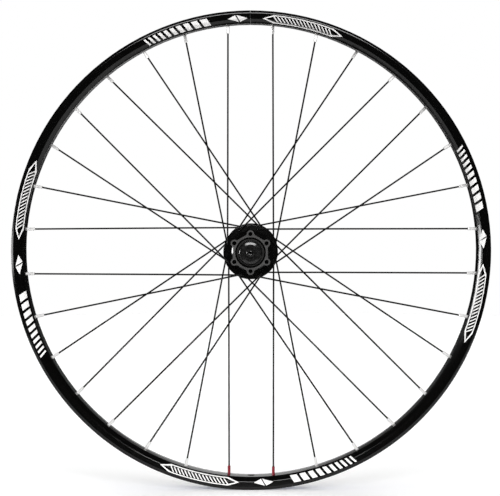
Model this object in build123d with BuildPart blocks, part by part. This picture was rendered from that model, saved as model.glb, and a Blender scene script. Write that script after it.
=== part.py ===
"""Front wheel of a mountain bike: rim, spokes, nipples and a hub that takes a disc brake.

The origin is the middle of the wheel. +Y runs along the axle, from the disc side to the plain side,
and +Z is up, with the rim's joint at the top and the valve hole at the bottom. Sizes are in mm.
An angle is counted from +X towards +Z. A side is -1 for the disc side and +1 for the plain side.
"""

from build123d import *
import os
from math import cos, radians, sin

os.makedirs("parts", exist_ok=True)

# Rim: a 559 mm (26 inch) hooked double-wall section
rim_radius = 286.25
rim_half_width = 16.0
bead_seat_radius = 279.5
bead_seat_half_width = 9.8
well_radius = 276.9
well_half_width = 8.4
outer_wall = 1.5
side_wall = 2.0
hook_overhang = 0.7
hook_height = 2.1
hook_taper = 1.1
lip_bevel_height = 3.2
lip_bevel_width = 1.2
flare_top_radius = 276.4
flare_inset = 0.6
flare_swell = 0.4
flare_curve = 25.0
bed_radius = 270.4
bed_half_width = 10.4
bed_crown = 0.5
bed_wall = 1.8
chamber_floor_half_width = 9.6
chamber_crown = 0.4
chamber_side_wall = 2.25
chamber_step_half_width = 10.8
chamber_roof_half_width = 9.3
valve_hole_radius = 4.25
nipple_hole_radius = 2.2
access_hole_radius = 4.0
access_hole_start = 2.4
access_hole_length = 6.0
tape_thickness = 0.6
tape_half_width = 7.5
tape_lift = 0.05
sleeve_half_angle = 3.0
sleeve_gap = 0.1
seam_gap = 0.2

# Lacing: three-cross, every other rim hole belongs to the disc side's flange
spoke_count = 32
rim_pitch = 360 / spoke_count
first_rim_hole = rim_pitch / 2
flange_pitch = 2 * rim_pitch
cross_angle = 3 * flange_pitch
rim_hole_stagger = 3.0
nipple_seat_radius = 272.6
red_nipples = (23, 24)

# Spoke and nipple
spoke_radius = 1.0
spoke_head_radius = 1.9
spoke_head_height = 0.9
spoke_head_round = 0.5
spoke_head_clearance = 0.05
elbow_bend = 1.8
crossing_bend = 150.0
crossing_gap = 0.2
thread_past_seat = 1.0
nipple_head_radius = 2.8
nipple_head_height = 2.2
nipple_head_cone = 0.6
nipple_head_round = 0.7
nipple_slot_width = 1.1
nipple_slot_depth = 1.0
nipple_corner = 0.4
nipple_tip_chamfer = 0.5
nipple_shank_radius = 2.0
nipple_flats = 3.4
nipple_length = 14.0
nipple_round_length = 3.0
nipple_bore_radius = 1.08

# Hub shell
flange_y = {-1: -23.0, 1: 33.5}
flange_radius = 32.5
flange_hole_circle = 28.5
flange_half_thickness = 1.6
flange_rim_thickness = 0.7
flange_flat_radius = 26.0
flange_hole_radius = 1.25
flange_hole_chamfer = 0.4
flange_root_radius = 24.0
elbow_lift = {-1: 0.65, 1: 1.2}
elbow_rest = 0.12
disc_face_y = -39.6
disc_bolt_circle = 44.0
disc_bolt_count = 6
disc_bolt_hole_radius = 2.5
disc_boss_radius = 4.3
disc_boss_depth = 10.0
disc_thread_depth = 9.0
disc_band_apothem = 20.5
disc_band_bore = 18.1
disc_band_depth = 4.4
disc_recess_depth = 3.4
disc_band_blend = 2.5
neck_radius = 19.4
neck_shoulder_radius = 22.4
neck_shoulder_length = 2.4
shell_bore = 12.4
shell_end = {-1: -38.6, 1: 40.4}
shell_nose_radius = 16.2
plain_shoulder_radius = 21.0
plain_step_radius = 18.4
plain_nose_radius = 17.4
plain_nose_chamfer = 0.8
waist_radius = 16.4
waist_y = 10.0
waist_swell = 0.6
flare_length = 6.0
disc_flare_radius = 18.4
plain_flare_radius = 17.8

# Cartridge bearings, 15 x 28 x 7
bearing_y = {-1: -34.4, 1: 35.9}
bearing_width = 7.0
bearing_inner_radius = 7.5
bearing_outer_radius = 14.0
ball_circle_radius = 10.75
ball_radius = 1.7
ball_count = 11
ball_gap = 0.12
race_shoulder = {"inner": 9.4, "outer": 12.1}
cage_half_width = 2.2
cage_half_height = 0.65
seal_thickness = 0.6
seal_inner_radius = 9.7
seal_setback = 0.25

# Axle, end caps and their o-rings: 100 mm over the locknut faces, for a 9 mm fork end
locknut_y = 50.0
stub_radius = 4.5
stub_length = 4.5
stub_chamfer = 0.5
skewer_bore_radius = 2.6
axle_bore_radius = 5.5
axle_end_y = 46.0
axle_shoulder_radius = 8.7
cap_radius = 13.0
cap_edge_radius = 12.4
cap_face_radius = 10.0
cap_groove_radius = 6.4
cap_groove_depth = 0.5
cap_collar_radius = 9.0
cap_collar_length = 1.3
cap_cone_height = 0.8
cap_socket_clearance = 0.1
o_ring_y = 43.0
o_ring_circle = 7.0
o_ring_radius = 0.45
o_ring_groove_width = 1.2
slip = 0.02
side_name = {-1: "disc_side", 1: "plain_side"}

from_bottom = (Align.CENTER, Align.CENTER, Align.MIN)
from_top = (Align.CENTER, Align.CENTER, Align.MAX)


def save(piece, name):
    piece.part.label = name
    export_step(piece.part, f"parts/{name}.step")


def around_axle(y, radius, degrees):
    return Vector(radius * cos(radians(degrees)), y, radius * sin(radians(degrees)))


def facing(y):
    """A plane square to the axle at y, seen from the disc side: local x is X and local y is Z."""
    return Plane.XZ.offset(-y)


# ---------------------------------------------------------------- spoke lines

def rim_angle(k):
    return first_rim_hole + k * rim_pitch


def side_of(k):
    return -1 if k % 2 == 0 else 1


def turn_of(k):
    """+1 where the spoke runs to a flange hole further round than its rim hole, -1 where it runs back."""
    return 1 if k % 4 < 2 else -1


def outboard_face(radius):
    """Distance from the flange's middle to its outboard face, which is coned towards the edge."""
    fall = (flange_half_thickness - flange_rim_thickness) / (flange_radius - flange_flat_radius)
    return flange_half_thickness - max(0, radius - flange_flat_radius) * fall


def elbow_y(side, turn):
    """Spokes that run forwards lie on the flange's outboard face, the others on its inboard face."""
    if turn > 0:
        return flange_y[side] + side * (outboard_face(flange_hole_circle) + spoke_radius + elbow_lift[side])
    return flange_y[side] - side * (flange_half_thickness + spoke_radius + elbow_rest)


def head_y(side, turn):
    if turn > 0:
        return flange_y[side] - side * flange_half_thickness
    return flange_y[side] + side * outboard_face(flange_hole_circle - spoke_head_radius)


# The outermost crossing lies halfway between two neighbouring rim holes of one flange.
to_flange_hole = radians(cross_angle - rim_pitch)
to_rim_hole = radians(rim_pitch)
crossing_share = flange_hole_circle * sin(to_flange_hole) / (
    flange_hole_circle * sin(to_flange_hole) + nipple_seat_radius * sin(to_rim_hole)
)
crossing_radius = (
    (1 - crossing_share) * flange_hole_circle * cos(to_flange_hole)
    + crossing_share * nipple_seat_radius * cos(to_rim_hole)
)


def crossing_y(side, turn):
    """Where two spokes of one flange cross, the outboard one passes behind the inboard one."""
    hub_end = (elbow_y(side, 1) + elbow_y(side, -1)) / 2
    rim_end = side * rim_hole_stagger
    middle = hub_end + crossing_share * (rim_end - hub_end)
    return middle - side * turn * (spoke_radius + crossing_gap / 2)


def spoke_line(k):
    """The head, elbow, crossing and nipple-seat points of spoke k."""
    side = side_of(k)
    turn = turn_of(k)
    hub_angle = rim_angle(k) + turn * cross_angle
    outward = -side * turn
    head_top = head_y(side, turn) + outward * spoke_head_height
    return (
        around_axle(head_top, flange_hole_circle, hub_angle),
        around_axle(elbow_y(side, turn), flange_hole_circle, hub_angle),
        around_axle(crossing_y(side, turn), crossing_radius, rim_angle(k) + turn * rim_pitch),
        around_axle(side * rim_hole_stagger, nipple_seat_radius, rim_angle(k)),
    )


def nipple_plane(k):
    """At the nipple's seat in the rim, with local z along the spoke and out of the wheel."""
    _, _, crossing, seat = spoke_line(k)
    return Plane(origin=seat, z_dir=seat - crossing)


# ---------------------------------------------------------------- rim

chamber_floor = bed_radius + bed_wall
chamber_roof = well_radius - outer_wall
shelf_underside = bead_seat_radius - outer_wall


def rim_outline():
    """Half of the rim's section as (y, radius), from the bed's middle round the hooked lip to the well."""
    inside = rim_half_width - side_wall
    hook = inside - hook_overhang
    bed_edge = Vector(bed_half_width, bed_radius + bed_crown)
    flare_top = Vector(rim_half_width - flare_inset, flare_top_radius)
    outwards = (flare_top - bed_edge).rotate(Axis.Z, -90).normalized()
    FilletPolyline(
        (0, bed_radius),
        bed_edge,
        (bed_edge + flare_top) / 2 + outwards * flare_swell,
        flare_top,
        (rim_half_width, rim_radius - lip_bevel_height),
        (rim_half_width - lip_bevel_width, rim_radius),
        (hook, rim_radius),
        (hook, rim_radius - hook_height),
        (inside, rim_radius - hook_height - hook_taper),
        (inside, bead_seat_radius),
        (bead_seat_half_width, bead_seat_radius),
        (well_half_width, well_radius),
        (0, well_radius),
        radius=(1.0, flare_curve, 3.0, 3.0, 0.7, 0.6, 0.7, 0.7, 0.5, 0.6, 0.8),
    )


def rim_chamber():
    """Half of the closed space between the spoke bed and the tyre well."""
    FilletPolyline(
        (0, chamber_floor),
        (chamber_floor_half_width, chamber_floor + chamber_crown),
        (rim_half_width - chamber_side_wall, shelf_underside),
        (chamber_step_half_width, shelf_underside),
        (chamber_roof_half_width, chamber_roof),
        (0, chamber_roof),
        radius=(1.5, 0.8, 0.6, 0.8),
    )


nipple_planes = [nipple_plane(k) for k in range(spoke_count)]
rim_height = rim_radius - bed_radius

with BuildPart() as rim:
    with BuildSketch(Plane.YZ):
        with BuildLine():
            rim_outline()
            mirror(about=Plane.YZ)
        make_face()
        with BuildLine():
            rim_chamber()
            mirror(about=Plane.YZ)
        make_face(mode=Mode.SUBTRACT)
    revolve(axis=Axis.Y)
    with Locations((0, 0, rim_radius)):
        Box(seam_gap, 3 * rim_half_width, 3 * rim_height, mode=Mode.SUBTRACT)
    with Locations([plane.location for plane in nipple_planes]):
        Cylinder(nipple_hole_radius, 4 * bed_wall, mode=Mode.SUBTRACT)
        with Locations((0, 0, access_hole_start)):
            Cylinder(access_hole_radius, access_hole_length, align=from_bottom, mode=Mode.SUBTRACT)
    with BuildSketch(Plane.XY.offset(-rim_radius)):
        Circle(valve_hole_radius)
    extrude(amount=1.5 * rim_height, mode=Mode.SUBTRACT)
save(rim, "rim")

with BuildPart() as rim_joint_sleeve:
    with BuildSketch(Plane.YZ.rotated((0, -sleeve_half_angle, 0))):
        with BuildLine():
            rim_chamber()
            mirror(about=Plane.YZ)
        make_face()
        offset(amount=-sleeve_gap, mode=Mode.REPLACE)
    revolve(axis=Axis.Y, revolution_arc=2 * sleeve_half_angle)
save(rim_joint_sleeve, "rim_joint_sleeve")

with BuildPart() as rim_tape:
    with BuildSketch(Plane.YZ):
        with Locations((0, well_radius + tape_lift + tape_thickness / 2)):
            Rectangle(2 * tape_half_width, tape_thickness)
    revolve(axis=Axis.Y)
    with BuildSketch(Plane.XY.offset(-rim_radius)):
        Circle(valve_hole_radius)
    extrude(amount=1.5 * rim_height, mode=Mode.SUBTRACT)
save(rim_tape, "rim_tape")


# ---------------------------------------------------------------- spokes and nipples

for k in range(spoke_count):
    head, elbow, crossing, seat = spoke_line(k)
    thread_end = seat + (seat - crossing).normalized() * thread_past_seat
    with BuildPart() as spoke:
        with BuildLine() as bent_wire:
            FilletPolyline(head, elbow, crossing, thread_end, radius=(elbow_bend, crossing_bend))
        with BuildSketch(Plane(origin=head, z_dir=elbow - head)):
            Circle(spoke_radius)
        sweep(path=bent_wire.line)
        with Locations(Plane(origin=head, z_dir=elbow - head).location):
            Cylinder(spoke_head_radius, spoke_head_height - spoke_head_clearance, align=from_bottom)
        head_edge = spoke.part.edges().filter_by(GeomType.CIRCLE).sort_by_distance(head)[0]
        fillet(head_edge, spoke_head_round)
    save(spoke, f"spoke_{k + 1:02d}")

with BuildPart() as nipple:
    Cylinder(nipple_shank_radius, nipple_length - nipple_head_height, align=from_top)
    with BuildSketch(Plane.XY.offset(-nipple_round_length)):
        Circle(nipple_shank_radius)
        RectangleRounded(nipple_flats, nipple_flats, nipple_corner, mode=Mode.SUBTRACT)
    extrude(amount=-nipple_length, mode=Mode.SUBTRACT)
    chamfer(nipple.faces().sort_by(Axis.Z)[0].outer_wire().edges(), nipple_tip_chamfer)
    Cone(nipple_shank_radius, nipple_head_radius, nipple_head_cone, align=from_bottom)
    with Locations((0, 0, nipple_head_cone)):
        Cylinder(nipple_head_radius, nipple_head_height - nipple_head_cone, align=from_bottom)
    fillet(nipple.faces().sort_by(Axis.Z)[-1].edges(), nipple_head_round)
    with Locations((0, 0, nipple_head_height)):
        Box(nipple_slot_width, 2 * nipple_head_radius, 2 * nipple_slot_depth, mode=Mode.SUBTRACT)
    Cylinder(nipple_bore_radius, 2 * nipple_length, mode=Mode.SUBTRACT)

for name, holes in (
    ("nipples_silver", [k for k in range(spoke_count) if k not in red_nipples]),
    ("nipples_red", red_nipples),
):
    with BuildPart() as nipple_group:
        with Locations([nipple_planes[k].location for k in holes]):
            add(nipple.part)
    save(nipple_group, name)


# ---------------------------------------------------------------- hub shell

shell_root = shell_bore + 2


def flange_outline(side):
    """One flange as (y, radius): flat inside, coned outside, with a rounded edge."""
    middle = flange_y[side]
    outboard = middle + side * flange_half_thickness
    inboard = middle - side * flange_half_thickness
    edge = middle + side * flange_rim_thickness
    FilletPolyline(
        (outboard, shell_root),
        (outboard, flange_flat_radius),
        (edge, flange_radius),
        (inboard, flange_radius),
        (inboard, shell_root),
        radius=(3.0, 0.6, 0.8),
    )
    Line((inboard, shell_root), (outboard, shell_root))


# The barrel swells into each flange, and carries on as the disc mount's neck and the plain side's nose.
disc_flange_inboard = flange_y[-1] + flange_half_thickness
plain_flange_inboard = flange_y[1] - flange_half_thickness
plain_flange_outboard = flange_y[1] + flange_half_thickness
disc_flange_outboard = flange_y[-1] - flange_half_thickness


def barrel_outline():
    """The shell between and beyond the flanges as (y, radius), solid down to its inner bore."""
    Polyline(
        (plain_flange_inboard, flange_root_radius),
        (plain_flange_outboard, plain_shoulder_radius),
        (plain_flange_outboard + plain_nose_chamfer, plain_step_radius),
        (shell_end[1] - plain_nose_chamfer, plain_nose_radius),
        (shell_end[1], plain_nose_radius - plain_nose_chamfer),
        (shell_end[1], shell_bore),
        (disc_face_y + disc_band_depth, shell_bore),
        (disc_face_y + disc_band_depth, neck_radius),
        (disc_flange_outboard - neck_shoulder_length, neck_radius),
        (disc_flange_outboard, neck_shoulder_radius),
        (disc_flange_inboard, flange_root_radius),
    )
    Spline(
        (disc_flange_inboard, flange_root_radius),
        (disc_flange_inboard + flare_length, disc_flare_radius),
        (0, waist_radius + waist_swell),
        (waist_y, waist_radius),
        (plain_flange_inboard - flare_length, plain_flare_radius),
        (plain_flange_inboard, flange_root_radius),
        tangents=((0.3, -1), (0.3, 1)),
    )


seat_floor = {side: bearing_y[side] - side * bearing_width / 2 for side in (-1, 1)}
seat_mouth = {side: bearing_y[side] + side * bearing_width / 2 for side in (-1, 1)}
first_flange_hole = {-1: rim_angle(0), 1: rim_angle(1)}
countersink = 1.0
boss_angle = 360 / disc_bolt_count / 2


def ring_sketch(y_one, y_other, inner, outer):
    """A rectangle in the YZ plane that revolves into a ring about the axle."""
    with Locations(((y_one + y_other) / 2, (inner + outer) / 2)):
        Rectangle(abs(y_other - y_one), outer - inner)


with BuildPart() as hub_shell:
    with BuildSketch(Plane.YZ):
        with BuildLine():
            barrel_outline()
        make_face()
        for side in (-1, 1):
            with BuildLine():
                flange_outline(side)
            make_face()
        ring_sketch(shell_end[-1], disc_face_y + disc_band_depth, shell_bore, shell_nose_radius)
    revolve(axis=Axis.Y)
    with BuildSketch(facing(disc_face_y)) as disc_star:
        RegularPolygon(disc_band_apothem, disc_bolt_count, major_radius=False, rotation=boss_angle)
        with PolarLocations(disc_bolt_circle / 2, disc_bolt_count, start_angle=boss_angle):
            Circle(disc_boss_radius)
        fillet(disc_star.vertices(), disc_band_blend)
    extrude(amount=-disc_band_depth)
    with BuildSketch(facing(disc_face_y + disc_band_depth)):
        with PolarLocations(disc_bolt_circle / 2, disc_bolt_count, start_angle=boss_angle):
            Circle(disc_boss_radius)
    extrude(amount=disc_band_depth - disc_boss_depth)
    with BuildSketch(Plane.YZ):
        ring_sketch(disc_face_y, shell_end[-1], 0, disc_band_bore)
        ring_sketch(shell_end[-1], disc_face_y + disc_recess_depth, shell_nose_radius, disc_band_bore)
        for side in (-1, 1):
            ring_sketch(shell_end[side], seat_floor[side], 0, bearing_outer_radius + slip)
    revolve(axis=Axis.Y, mode=Mode.SUBTRACT)
    with BuildSketch(facing(disc_face_y)):
        with PolarLocations(disc_bolt_circle / 2, disc_bolt_count, start_angle=boss_angle):
            Circle(disc_bolt_hole_radius)
    extrude(amount=-disc_thread_depth, mode=Mode.SUBTRACT)
    for side in (-1, 1):
        with Locations(facing(flange_y[side])):
            with PolarLocations(flange_hole_circle, spoke_count // 2, start_angle=first_flange_hole[side]):
                Cylinder(flange_hole_radius, 4 * flange_half_thickness, mode=Mode.SUBTRACT)
                for way in (1, -1):
                    small_end = flange_half_thickness - flange_hole_chamfer
                    with Locations(Plane((0, 0, way * small_end), z_dir=(0, 0, way))):
                        Cone(
                            flange_hole_radius,
                            flange_hole_radius + countersink,
                            countersink,
                            align=from_bottom,
                            mode=Mode.SUBTRACT,
                        )
save(hub_shell, "hub_shell")


# ---------------------------------------------------------------- bearings

for side in (-1, 1):
    middle = bearing_y[side]
    half = bearing_width / 2
    races = {
        "inner": (bearing_inner_radius + slip, race_shoulder["inner"]),
        "outer": (race_shoulder["outer"], bearing_outer_radius),
    }
    for which, (bore, rim_of_race) in races.items():
        with BuildPart() as race:
            with BuildSketch(Plane.YZ):
                ring_sketch(middle - half, middle + half, bore, rim_of_race)
                with Locations((middle, ball_circle_radius)):
                    Circle(ball_radius + ball_gap, mode=Mode.SUBTRACT)
            revolve(axis=Axis.Y)
        save(race, f"bearing_{which}_race_{side_name[side]}")

    with BuildPart() as balls:
        with Locations(facing(middle)):
            with PolarLocations(ball_circle_radius, ball_count):
                Sphere(ball_radius)
    save(balls, f"bearing_balls_{side_name[side]}")

    with BuildPart() as cage:
        with BuildSketch(Plane.YZ):
            ring_sketch(
                middle - cage_half_width,
                middle + cage_half_width,
                ball_circle_radius - cage_half_height,
                ball_circle_radius + cage_half_height,
            )
        revolve(axis=Axis.Y)
        with Locations(facing(middle)):
            with PolarLocations(ball_circle_radius, ball_count):
                Cylinder(
                    ball_radius + ball_gap,
                    4 * cage_half_height,
                    rotation=(0, 90, 0),
                    mode=Mode.SUBTRACT,
                )
    save(cage, f"bearing_cage_{side_name[side]}")

    for which, way in (("outer", side), ("inner", -side)):
        face = middle + way * (half - seal_setback)
        with BuildPart() as seal:
            with BuildSketch(Plane.YZ):
                ring_sketch(
                    face,
                    face - way * seal_thickness,
                    seal_inner_radius,
                    race_shoulder["outer"] - slip,
                )
            revolve(axis=Axis.Y)
        save(seal, f"bearing_{which}_seal_{side_name[side]}")


# ---------------------------------------------------------------- axle and end caps

with BuildPart() as axle:
    with BuildSketch(Plane.YZ):
        ring_sketch(-axle_end_y, axle_end_y, axle_bore_radius, bearing_inner_radius)
        ring_sketch(seat_floor[-1], seat_floor[1], bearing_inner_radius, axle_shoulder_radius)
        for side in (-1, 1):
            with Locations((side * o_ring_y, bearing_inner_radius)):
                Rectangle(
                    o_ring_groove_width,
                    2 * (bearing_inner_radius - o_ring_circle + o_ring_radius),
                    mode=Mode.SUBTRACT,
                )
    revolve(axis=Axis.Y)
save(axle, "axle")

for side in (-1, 1):
    socket_radius = bearing_inner_radius + slip
    socket_floor = side * (axle_end_y + cap_socket_clearance)
    collar_end = seat_mouth[side] + side * cap_collar_length
    stub_end = side * (locknut_y + stub_length)
    edge_y = side * (locknut_y - cap_cone_height)
    with BuildPart() as end_cap:
        with BuildSketch(Plane.YZ):
            with BuildLine():
                Polyline(
                    (seat_mouth[side], socket_radius),
                    (seat_mouth[side], cap_collar_radius),
                    (collar_end, cap_collar_radius),
                    (collar_end, cap_radius),
                    (edge_y - side * (cap_radius - cap_edge_radius), cap_radius),
                    (edge_y, cap_edge_radius),
                    (side * locknut_y, cap_face_radius),
                    (side * locknut_y, cap_groove_radius),
                    (side * (locknut_y - cap_groove_depth), cap_groove_radius),
                    (side * (locknut_y - cap_groove_depth), stub_radius),
                    (stub_end - side * stub_chamfer, stub_radius),
                    (stub_end, stub_radius - stub_chamfer),
                    (stub_end, skewer_bore_radius),
                    (socket_floor, skewer_bore_radius),
                    (socket_floor, socket_radius),
                    close=True,
                )
            make_face()
        revolve(axis=Axis.Y)
    save(end_cap, f"end_cap_{side_name[side]}")

    with BuildPart() as o_ring:
        with BuildSketch(Plane.YZ):
            with Locations((side * o_ring_y, o_ring_circle)):
                Circle(o_ring_radius)
        revolve(axis=Axis.Y)
    save(o_ring, f"axle_o_ring_{side_name[side]}")
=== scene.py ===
"""Looks of a spoked bicycle wheel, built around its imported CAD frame.

Metres; the axle lies along Y and Z is up.
"""
from collections import namedtuple
from math import cos, pi, radians, sin

import bmesh
import bpy
from mathutils import Matrix, Vector
from mathutils.bvhtree import BVHTree


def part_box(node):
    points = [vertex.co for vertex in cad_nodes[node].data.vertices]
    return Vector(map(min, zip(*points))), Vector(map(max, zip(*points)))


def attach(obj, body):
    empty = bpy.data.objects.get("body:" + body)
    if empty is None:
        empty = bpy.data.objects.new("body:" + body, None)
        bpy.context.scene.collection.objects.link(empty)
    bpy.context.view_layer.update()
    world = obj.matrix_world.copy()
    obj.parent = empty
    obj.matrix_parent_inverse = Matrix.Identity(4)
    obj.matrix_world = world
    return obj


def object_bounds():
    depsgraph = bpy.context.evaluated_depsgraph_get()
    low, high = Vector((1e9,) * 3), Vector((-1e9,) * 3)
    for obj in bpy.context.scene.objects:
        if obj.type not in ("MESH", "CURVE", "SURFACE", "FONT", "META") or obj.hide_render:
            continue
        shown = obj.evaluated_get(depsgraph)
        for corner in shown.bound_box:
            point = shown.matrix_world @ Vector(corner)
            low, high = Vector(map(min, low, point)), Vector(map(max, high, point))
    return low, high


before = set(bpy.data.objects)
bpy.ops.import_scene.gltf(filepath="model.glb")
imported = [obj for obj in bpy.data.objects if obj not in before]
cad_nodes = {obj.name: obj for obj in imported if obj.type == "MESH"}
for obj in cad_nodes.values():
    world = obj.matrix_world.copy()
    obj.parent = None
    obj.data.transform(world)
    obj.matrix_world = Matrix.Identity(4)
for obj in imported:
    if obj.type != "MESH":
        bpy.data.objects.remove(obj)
cad_low, cad_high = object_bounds()
scene = bpy.context.scene

MM = 0.001
disc_side, plain_side = -1, 1


# ---------------------------------------------------------------- node helpers

Place = namedtuple("Place", "vector x y z radius")


class Graph:
    """A material's or the world's node tree, with short calls for the nodes used here."""

    def __init__(self, tree):
        self.tree = tree

    def node(self, kind, **settings):
        made = self.tree.nodes.new(kind)
        for name, value in settings.items():
            setattr(made, name, value)
        return made

    def feed(self, target, source):
        """Set a socket to a constant, or link another node's output to it."""
        if isinstance(source, (int, float, tuple)):
            target.default_value = source
        else:
            self.tree.links.new(source, target)

    def math(self, operation, a, b=0.0):
        made = self.node("ShaderNodeMath", operation=operation)
        self.feed(made.inputs[0], a)
        self.feed(made.inputs[1], b)
        return made.outputs[0]

    def ramp(self, value, low, high, to_low=0.0, to_high=1.0):
        """value from low..high mapped smoothly to to_low..to_high, and held beyond."""
        made = self.node("ShaderNodeMapRange", interpolation_type="SMOOTHSTEP")
        for socket, source in zip(made.inputs, (value, low, high, to_low, to_high)):
            self.feed(socket, source)
        return made.outputs[0]

    def mix(self, share, a, b):
        made = self.node("ShaderNodeMix", data_type="RGBA")
        self.feed(made.inputs["Factor"], share)
        colour_a, colour_b = [socket for socket in made.inputs if socket.type == "RGBA"]
        self.feed(colour_a, a)
        self.feed(colour_b, b)
        return next(socket for socket in made.outputs if socket.type == "RGBA")

    def noise(self, vector, scale, detail=3.0, roughness=0.5):
        made = self.node("ShaderNodeTexNoise")
        self.feed(made.inputs["Vector"], vector)
        self.feed(made.inputs["Scale"], scale)
        self.feed(made.inputs["Detail"], detail)
        self.feed(made.inputs["Roughness"], roughness)
        return made.outputs["Fac"]

    def combine(self, x, y, z):
        made = self.node("ShaderNodeCombineXYZ")
        for socket, source in zip(made.inputs, (x, y, z)):
            self.feed(socket, source)
        return made.outputs[0]

    def split(self, vector):
        made = self.node("ShaderNodeSeparateXYZ")
        self.feed(made.inputs[0], vector)
        return tuple(made.outputs)

    def place(self):
        """The point's own place: the vector, its x, y and z, and its distance from the axle."""
        vector = self.node("ShaderNodeTexCoord").outputs["Object"]
        x, y, z = self.split(vector)
        squares = self.math("ADD", self.math("MULTIPLY", x, x), self.math("MULTIPLY", z, z))
        return Place(vector, x, y, z, self.math("SQRT", squares))

    def bump(self, height, depth, strength, below=None):
        made = self.node("ShaderNodeBump")
        self.feed(made.inputs["Strength"], strength)
        self.feed(made.inputs["Distance"], depth)
        self.feed(made.inputs["Height"], height)
        if below is not None:
            self.feed(made.inputs["Normal"], below)
        return made.outputs[0]


def grey(value, warm=0.0):
    return (value * (1 + warm), value, value * (1 - warm), 1.0)


def new_material(name, metallic=0.0, ior=1.5):
    made = bpy.data.materials.new(name)
    made.use_nodes = True
    shader = made.node_tree.nodes["Principled BSDF"]
    shader.inputs["Metallic"].default_value = metallic
    shader.inputs["IOR"].default_value = ior
    return made, Graph(made.node_tree), shader


def finish_shader(graph, shader, colour, roughness, normal=None):
    graph.feed(shader.inputs["Base Color"], colour)
    graph.feed(shader.inputs["Roughness"], roughness)
    if normal is not None:
        graph.feed(shader.inputs["Normal"], normal)


# ---------------------------------------------------------------- materials

black_ior, spoke_ior = 1.38, 1.2


def rim_material():
    """Black anodised extrusion: faint die lines, small scuffs, and bare cut ends at the joint."""
    made, graph, shader = new_material("rim_black", ior=black_ior)
    at = graph.place()
    lines = graph.noise(graph.combine(at.radius, at.y, 0.0), 2600.0, 2.0)
    grain = graph.noise(at.vector, 900.0, 4.0, 0.6)
    scuffs = graph.ramp(graph.noise(at.vector, 55.0, 5.0, 0.65), 0.60, 0.78)
    near_joint = graph.ramp(graph.math("ABSOLUTE", at.x), 0.15 * MM, 0.35 * MM, 1.0, 0.0)
    upper_part = graph.ramp(at.z, 0.2, 0.21)
    cut_end = graph.math("MULTIPLY", near_joint, upper_part)
    black = graph.mix(grain, grey(0.0012), grey(0.0024, 0.03))
    worn = graph.mix(graph.math("MULTIPLY", scuffs, 0.35), black, grey(0.012))
    colour = graph.mix(graph.math("MULTIPLY", cut_end, 0.5), worn, grey(0.12))
    shine = graph.ramp(grain, 0.2, 0.8, 0.11, 0.17)
    roughness = graph.math("ADD", shine, graph.math("MULTIPLY", scuffs, 0.06))
    normal = graph.bump(lines, 0.002 * MM, 0.5, graph.bump(grain, 0.001 * MM, 0.5))
    finish_shader(graph, shader, colour, roughness, normal)
    return made


def spoke_material():
    """Black oxide on drawn stainless wire."""
    made, graph, shader = new_material("spoke_black", ior=spoke_ior)
    at = graph.place()
    grain = graph.noise(at.vector, 1500.0, 3.0)
    patches = graph.noise(at.vector, 60.0, 3.0)
    colour = graph.mix(patches, grey(0.0015), grey(0.003, 0.04))
    roughness = graph.ramp(grain, 0.25, 0.75, 0.26, 0.38)
    finish_shader(graph, shader, colour, roughness, graph.bump(grain, 0.01 * MM, 0.3))
    return made


def nipple_material(name, dark, light, metallic, shine):
    """Plated or anodised brass, faintly mottled, with turning lines round each nipple."""
    made, graph, shader = new_material(name, metallic)
    at = graph.place()
    lines = graph.noise(graph.combine(at.radius, 0.0, 0.0), 5000.0, 1.0)
    mottle = graph.noise(at.vector, 700.0, 4.0)
    roughness = graph.ramp(mottle, 0.2, 0.8, shine, shine + 0.12)
    normal = graph.bump(lines, 0.02 * MM, 0.3)
    finish_shader(graph, shader, graph.mix(mottle, dark, light), roughness, normal)
    return made


def hub_material():
    """Black anodised hub: lathe rings, a painted reflection that makes the disc mount's face
    paler, and a painted highlight on the nose end.
    """
    made, graph, shader = new_material("hub_black", ior=black_ior)
    at = graph.place()
    rings = graph.noise(graph.combine(at.radius, at.y, 0.0), 3200.0, 2.0)
    grain = graph.noise(at.vector, 1400.0, 4.0, 0.6)
    disc_face_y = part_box("hub_shell")[0].y
    nose_radius, nose_end_y = 16.0 * MM, disc_face_y + 1.1 * MM
    # The disc mount's face: a painted reflection mixes in a paler grey here, and the face is made
    # rougher.
    mount_face_painted_sheen = graph.ramp(at.y, disc_face_y + 0.02 * MM, disc_face_y + 0.35 * MM, 1.0, 0.0)
    # A painted highlight on the end face of the nose, mixed in at about a third of the paler grey.
    painted_highlight_nose_end = graph.math(
        "MULTIPLY",
        graph.ramp(at.radius, nose_radius, nose_radius + 0.4 * MM, 1.0, 0.0),
        graph.ramp(at.y, nose_end_y, nose_end_y + 0.3 * MM, 1.0, 0.0),
    )
    # Where the painted reflection on the mount face and the painted highlight on the nose end are
    # mixed in.
    painted_light_mask = graph.math("MAXIMUM", mount_face_painted_sheen, graph.math("MULTIPLY", painted_highlight_nose_end, 0.35))
    black = graph.mix(grain, grey(0.0012), grey(0.003, 0.03))
    # The paler grey of the painted reflection and the painted highlight, with lathe rings.
    pale = graph.mix(rings, grey(0.035), grey(0.065, 0.02))
    shine = graph.ramp(grain, 0.2, 0.8, 0.14, 0.20)
    roughness = graph.math("ADD", shine, graph.math("MULTIPLY", mount_face_painted_sheen, 0.25))
    normal = graph.bump(rings, 0.012 * MM, 0.3, graph.bump(grain, 0.006 * MM, 0.3))
    finish_shader(graph, shader, graph.mix(painted_light_mask, black, pale), roughness, normal)
    return made


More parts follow.
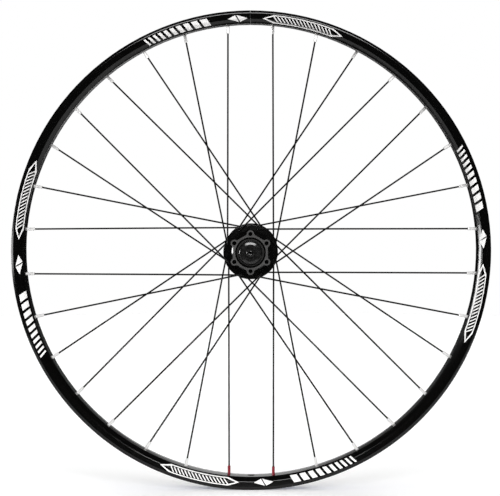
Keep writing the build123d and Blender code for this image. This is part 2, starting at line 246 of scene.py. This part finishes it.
def cap_material():
    """Black anodised end cap with turning rings, rubbed a little where the fork end clamps it."""
    made, graph, shader = new_material("cap_black", ior=black_ior)
    at = graph.place()
    rings = graph.noise(graph.combine(at.radius, at.y, 0.0), 2400.0, 2.0)
    grain = graph.noise(at.vector, 1400.0, 4.0, 0.6)
    rubbed = graph.ramp(graph.noise(at.vector, 260.0, 3.0), 0.45, 0.65)
    black = graph.mix(rings, grey(0.003), grey(0.012, 0.02))
    colour = graph.mix(graph.math("MULTIPLY", rubbed, 0.5), black, grey(0.022))
    roughness = graph.ramp(rings, 0.25, 0.75, 0.12, 0.2)
    normal = graph.bump(rings, 0.006 * MM, 0.3, graph.bump(grain, 0.003 * MM, 0.3))
    finish_shader(graph, shader, colour, roughness, normal)
    return made


def metal_material(name, dark, light, shine, ring_depth):
    """Turned or ground bare metal."""
    made, graph, shader = new_material(name, metallic=1.0)
    at = graph.place()
    rings = graph.noise(graph.combine(at.radius, at.y, 0.0), 3000.0, 2.0)
    stain = graph.noise(at.vector, 120.0, 4.0)
    roughness = graph.ramp(stain, 0.2, 0.8, shine, shine + 0.14)
    normal = graph.bump(rings, ring_depth, 0.4)
    finish_shader(graph, shader, graph.mix(stain, dark, light), roughness, normal)
    return made


def moulded_material(name, dark, light, shine, grain_scale, depth):
    """Rubber or moulded plastic with a fine pebbled skin."""
    made, graph, shader = new_material(name)
    at = graph.place()
    pebbles = graph.noise(at.vector, grain_scale, 4.0, 0.6)
    patches = graph.noise(at.vector, 80.0, 3.0)
    roughness = graph.ramp(pebbles, 0.2, 0.8, shine, shine + 0.2)
    normal = graph.bump(pebbles, depth, 0.5)
    finish_shader(graph, shader, graph.mix(patches, dark, light), roughness, normal)
    return made


def tape_material():
    """Blue woven nylon: threads along the tape and across it."""
    made, graph, shader = new_material("tape")
    at = graph.place()
    thread = 0.7 * MM
    around = graph.math("MULTIPLY", graph.math("ARCTAN2", at.z, at.x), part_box("rim_tape")[1].x)
    warp = graph.math("SINE", graph.math("MULTIPLY", around, 2 * pi / thread))
    weft = graph.math("SINE", graph.math("MULTIPLY", at.y, 2 * pi / thread))
    weave = graph.ramp(graph.math("MULTIPLY", warp, weft), -1.0, 1.0)
    fade = graph.noise(at.vector, 40.0, 3.0)
    dark = graph.mix(fade, (0.03, 0.07, 0.24, 1.0), (0.05, 0.10, 0.30, 1.0))
    light = graph.mix(fade, (0.08, 0.16, 0.45, 1.0), (0.11, 0.20, 0.50, 1.0))
    roughness = graph.ramp(weave, 0.0, 1.0, 0.85, 0.7)
    normal = graph.bump(weave, 0.12 * MM, 0.7)
    finish_shader(graph, shader, graph.mix(weave, dark, light), roughness, normal)
    return made


def print_material():
    """White ink with a slightly uneven cover."""
    made, graph, shader = new_material("rim_print")
    at = graph.place()
    cover = graph.noise(at.vector, 900.0, 4.0, 0.6)
    colour = graph.mix(graph.ramp(cover, 0.25, 0.6), grey(0.70, 0.01), grey(0.86, 0.01))
    roughness = graph.ramp(cover, 0.2, 0.8, 0.35, 0.5)
    finish_shader(graph, shader, colour, roughness, graph.bump(cover, 0.01 * MM, 0.3))
    return made


bone, pale_bone = (0.60, 0.57, 0.48, 1.0), (0.74, 0.71, 0.62, 1.0)
dark_crimson, crimson = (0.16, 0.005, 0.013, 1.0), (0.26, 0.008, 0.022, 1.0)
nickel, bright_nickel = grey(0.62, 0.01), grey(0.80, 0.01)
rubber, grey_rubber = grey(0.014), grey(0.030)
ring_rubber, grey_ring_rubber = grey(0.010), grey(0.020)

materials = {
    "rim_black": rim_material(),
    "spoke_black": spoke_material(),
    "nipple_silver": nipple_material("nipple_silver", nickel, bright_nickel, 0.25, 0.3),
    "nipple_red": nipple_material("nipple_red", dark_crimson, crimson, 0.3, 0.3),
    "hub_black": hub_material(),
    "cap_black": cap_material(),
    "bare_aluminium": metal_material("bare_aluminium", grey(0.60), grey(0.76), 0.30, 0.03 * MM),
    "axle_alloy": metal_material("axle_alloy", grey(0.48), grey(0.66), 0.22, 0.03 * MM),
    "bearing_steel": metal_material("bearing_steel", grey(0.60), grey(0.78), 0.08, 0.005 * MM),
    "cage_nylon": moulded_material("cage_nylon", bone, pale_bone, 0.4, 1500.0, 0.02 * MM),
    "seal_rubber": moulded_material("seal_rubber", rubber, grey_rubber, 0.5, 1800.0, 0.04 * MM),
    "o_ring_rubber": moulded_material(
        "o_ring_rubber", ring_rubber, grey_ring_rubber, 0.4, 1800.0, 0.02 * MM
    ),
    "tape": tape_material(),
}
ink = print_material()


def slot_of(obj):
    """The material slot that a CAD object was packed with."""
    names = [material.name.split(".")[0] for material in obj.data.materials]
    return next(name for name in names if name in materials)


for cad_object in cad_nodes.values():
    slot = slot_of(cad_object)
    cad_object.data.materials.clear()
    cad_object.data.materials.append(materials[slot])


# ---------------------------------------------------------------- printed graphics

# The graphics repeat four times round, on both sides.
rim_mesh = cad_nodes["rim"].data
rim_surface = BVHTree.FromPolygons(
    [vertex.co[:] for vertex in rim_mesh.vertices],
    [polygon.vertices[:] for polygon in rim_mesh.polygons],
)
# Distances along the rim are measured on this circle.
layout_radius = cad_high.z - 9.2 * MM
step_along, step_across = 1.8 * MM, 0.7 * MM
ink_thickness = 0.1 * MM
outside_rim_y = 2 * cad_high.y


def on_rim(angle, radius, side):
    """The rim wall's point and outward normal at that angle and distance from the axle."""
    start = Vector((radius * cos(angle), side * outside_rim_y, radius * sin(angle)))
    point, normal, _, _ = rim_surface.ray_cast(start, Vector((0, -side, 0)))
    return point, normal * (1 if normal.y * side > 0 else -1)


def slanted(left, right, low, high, lean):
    """A parallelogram whose sides lean: at height 0 they pass through left and right."""
    return [
        (left + low * lean, low),
        (right + low * lean, low),
        (right + high * lean, high),
        (left + high * lean, high),
    ]


def spindle(left, right, half_height, point_length):
    """A long hexagon, pointed at both ends."""
    return [
        (left, 0),
        (left + point_length, -half_height),
        (right - point_length, -half_height),
        (right, 0),
        (right - point_length, half_height),
        (left + point_length, half_height),
    ]


def cut_into_grid(bm):
    """Cut a flat mesh into small faces, so that it can follow the rim's curves."""
    for axis, step in ((0, step_along), (1, step_across)):
        places = [vertex.co[axis] for vertex in bm.verts]
        count = int((max(places) - min(places)) / step)
        normal = Vector((0, 0, 0))
        normal[axis] = 1
        for i in range(1, count + 1):
            cut = normal * (min(places) + (max(places) - min(places)) * i / (count + 1))
            geometry = bm.verts[:] + bm.edges[:] + bm.faces[:]
            bmesh.ops.bisect_plane(bm, geom=geometry, plane_co=cut, plane_no=normal, dist=1e-7)
    bmesh.ops.remove_doubles(bm, verts=bm.verts, dist=1e-6)


def make_print(name, shapes, base_angle, side):
    """One printed piece: flat outlines in mm, with holes, laid on the rim as a thin slab."""
    bm = bmesh.new()
    for loops in shapes:
        edges = []
        for loop in loops:
            corners = [bm.verts.new((along * MM, across * MM, 0)) for along, across in loop]
            edges += [bm.edges.new((corners[i - 1], corner)) for i, corner in enumerate(corners)]
        bmesh.ops.triangle_fill(bm, use_beauty=True, use_dissolve=False, edges=edges)
    cut_into_grid(bm)

    outer_faces = bm.faces[:]
    under = {}
    for vertex in bm.verts[:]:
        angle = base_angle + vertex.co.x / layout_radius
        point, normal = on_rim(angle, layout_radius + vertex.co.y, side)
        vertex.co = point + normal * ink_thickness / 2
        under[vertex] = bm.verts.new(point - normal * ink_thickness / 2)
    for face in outer_faces:
        face.normal_update()
        if face.normal.y * side < 0:
            face.normal_flip()
    outline = [edge.link_loops[0] for edge in bm.edges if len(edge.link_faces) == 1]
    for loop in outline:
        start, end = loop.vert, loop.link_loop_next.vert
        bm.faces.new([end, start, under[start], under[end]])
    for face in outer_faces:
        bm.faces.new([under[vertex] for vertex in reversed(face.verts[:])])

    mesh = bpy.data.meshes.new(name)
    bm.normal_update()
    bm.to_mesh(mesh)
    bm.free()
    mesh.materials.append(ink)
    obj = bpy.data.objects.new(name, mesh)
    scene.collection.objects.link(obj)
    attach(obj, "wheel")


def along_rim(degrees):
    """Millimetres along the layout circle."""
    return radians(degrees) * layout_radius / MM


def hatched_spindle():
    """A long pointed outline, filled with thin slanted strokes."""
    left, right = along_rim(-23.2), along_rim(-3.0)
    half_height, point_length, line = 4.7, 13.0, 1.1
    inner = spindle(left + 3.2 * line, right - 3.2 * line, half_height - line, point_length - line)
    shapes = [[spindle(left, right, half_height, point_length), inner]]
    stroke, gap, lean = 1.6, 2.8, 0.9
    reach = half_height - line - 0.6
    start, end = left + point_length + 2.0, right - point_length - 2.0
    count = int((end - start + gap) / (stroke + gap))
    for i in range(count):
        at = start + (stroke + gap) * i
        shapes.append([slanted(at, at + stroke, -reach, reach, lean)])
    return shapes


def fading_bars():
    """Solid slanted bars that get thinner along the rim."""
    left, right = along_rim(10.2), along_rim(26.4)
    count, gap, lean, half_height, shrink = 10, 3.3, 0.45, 4.3, 0.87
    shares = [shrink ** i for i in range(count)]
    unit = (right - left - gap * (count - 1)) / sum(shares)
    shapes = []
    at = left
    for share in shares:
        shapes.append([slanted(at, at + share * unit, -half_height, half_height, lean)])
        at += share * unit + gap
    return shapes


def split_lozenge():
    """A flat lozenge in two halves."""
    left, right = along_rim(0.7), along_rim(5.5)
    middle, half_height, half_gap, lean = (left + right) / 2, 4.0, 0.8, 0.55
    cut_low, cut_high = middle - half_height * lean, middle + half_height * lean
    return [
        [[(left, 0.0), (cut_low - half_gap, -half_height), (cut_high - half_gap, half_height)]],
        [[(cut_low + half_gap, -half_height), (right, 0.0), (cut_high + half_gap, half_height)]],
    ]


graphics = {"spindle": hatched_spindle(), "bars": fading_bars(), "lozenge": split_lozenge()}
for side, side_name in ((disc_side, "disc_side"), (plain_side, "plain_side")):
    for quarter in range(4):
        for label, shapes in graphics.items():
            make_print(f"print_{label}_{side_name}_{quarter + 1}", shapes, quarter * pi / 2, side)


# ---------------------------------------------------------------- floor

def make_floor():
    """A pale disc that starts just in front of the wheel."""
    size, in_front = 1.6, 0.55
    bm = bmesh.new()
    bmesh.ops.create_circle(bm, cap_ends=True, segments=96, radius=size)
    mesh = bpy.data.meshes.new("floor")
    bm.to_mesh(mesh)
    bm.free()
    made, graph, shader = new_material("floor_pale")
    tone = graph.noise(graph.place().vector, 3.0, 3.0)
    finish_shader(graph, shader, graph.mix(tone, grey(0.86), grey(0.9)), 0.8)
    own_light = 0.2
    shader.inputs["Emission Color"].default_value = grey(1.0)
    shader.inputs["Emission Strength"].default_value = own_light
    mesh.materials.append(made)
    floor = bpy.data.objects.new("floor", mesh)
    floor.location = (0, size - in_front, cad_low.z)
    scene.collection.objects.link(floor)


make_floor()


# ---------------------------------------------------------------- light

def make_world():
    """White to the eye; in reflections, dark but for a narrow glow behind the wheel."""
    world = bpy.data.worlds.new("studio")
    world.use_nodes = True
    scene.world = world
    graph = Graph(world.node_tree)
    direction = graph.node("ShaderNodeTexCoord").outputs["Generated"]
    sideways, backwards, upwards = graph.split(direction)
    side_edge, share_at_sides = (0.04, 0.16), 0.15
    back_edge, share_in_front = (0.85, 0.98), 0.01
    horizon, share_below = (-0.02, 0.12), 0.03
    near_middle = graph.ramp(graph.math("ABSOLUTE", sideways), *side_edge, 1.0, share_at_sides)
    behind = graph.ramp(backwards, *back_edge, share_in_front, 1.0)
    above = graph.ramp(upwards, *horizon, share_below, 1.0)
    glow = graph.math("MULTIPLY", graph.math("MULTIPLY", near_middle, behind), above)
    seen = graph.node("ShaderNodeLightPath").outputs["Is Camera Ray"]
    background = world.node_tree.nodes["Background"]
    background.inputs["Color"].default_value = grey(1.0)
    graph.feed(background.inputs["Strength"], graph.math("MAXIMUM", seen, glow))


def softbox(name, place, width, height, power):
    """A rectangle that shows in reflections only, aimed at the hub."""
    data = bpy.data.lights.new(name, "AREA")
    data.shape = "RECTANGLE"
    data.size, data.size_y = width, height
    data.energy = power
    obj = bpy.data.objects.new(name, data)
    obj.location = place
    obj.rotation_euler = (-Vector(place)).to_track_quat("-Z", "Y").to_euler()
    obj.visible_diffuse = False
    obj.visible_camera = False
    scene.collection.objects.link(obj)


def soft_sun(name, source, strength, spread):
    """Even light from the direction of source, left out of reflections."""
    data = bpy.data.lights.new(name, "SUN")
    data.energy = strength
    data.angle = radians(spread)
    obj = bpy.data.objects.new(name, data)
    obj.rotation_euler = (-Vector(source)).to_track_quat("-Z", "Y").to_euler()
    obj.visible_glossy = False
    scene.collection.objects.link(obj)


make_world()
softbox("left_softbox", place=(-2.0, -0.32, 0.1), width=0.6, height=0.66, power=56.0)
softbox("left_edge_softbox", place=(-2.0, -1.53, -0.1), width=0.3, height=0.3, power=4.0)
softbox("top_softbox", place=(0.0, -1.66, 1.08), width=1.3, height=0.4, power=34.0)
soft_sun("front_fill", source=(0.3, -3.0, 1.2), strength=3.2, spread=50)
soft_sun("back_fill", source=(-0.3, 3.0, 1.2), strength=2.0, spread=50)
soft_sun("overhead", source=(0.0, 0.0, 1.0), strength=1.2, spread=80)


# ---------------------------------------------------------------- camera

def make_camera():
    distance = 2.1335
    azimuth, elevation, roll = radians(0.6), radians(2.6), radians(-0.10)
    aim = Vector((-0.96, 0, 3.74)) * MM
    towards_camera = Vector(
        (sin(azimuth) * cos(elevation), -cos(azimuth) * cos(elevation), sin(elevation))
    )
    place = towards_camera * distance
    data = bpy.data.cameras.new("camera")
    data.sensor_width = 36.0
    data.lens = 128.0
    camera = bpy.data.objects.new("camera", data)
    look = (aim - place).to_track_quat("-Z", "Y").to_matrix().to_4x4()
    camera.matrix_world = Matrix.Translation(place) @ look @ Matrix.Rotation(roll, 4, "Z")
    scene.collection.objects.link(camera)
    scene.camera = camera


make_camera()
scene.view_settings.view_transform = "Standard"
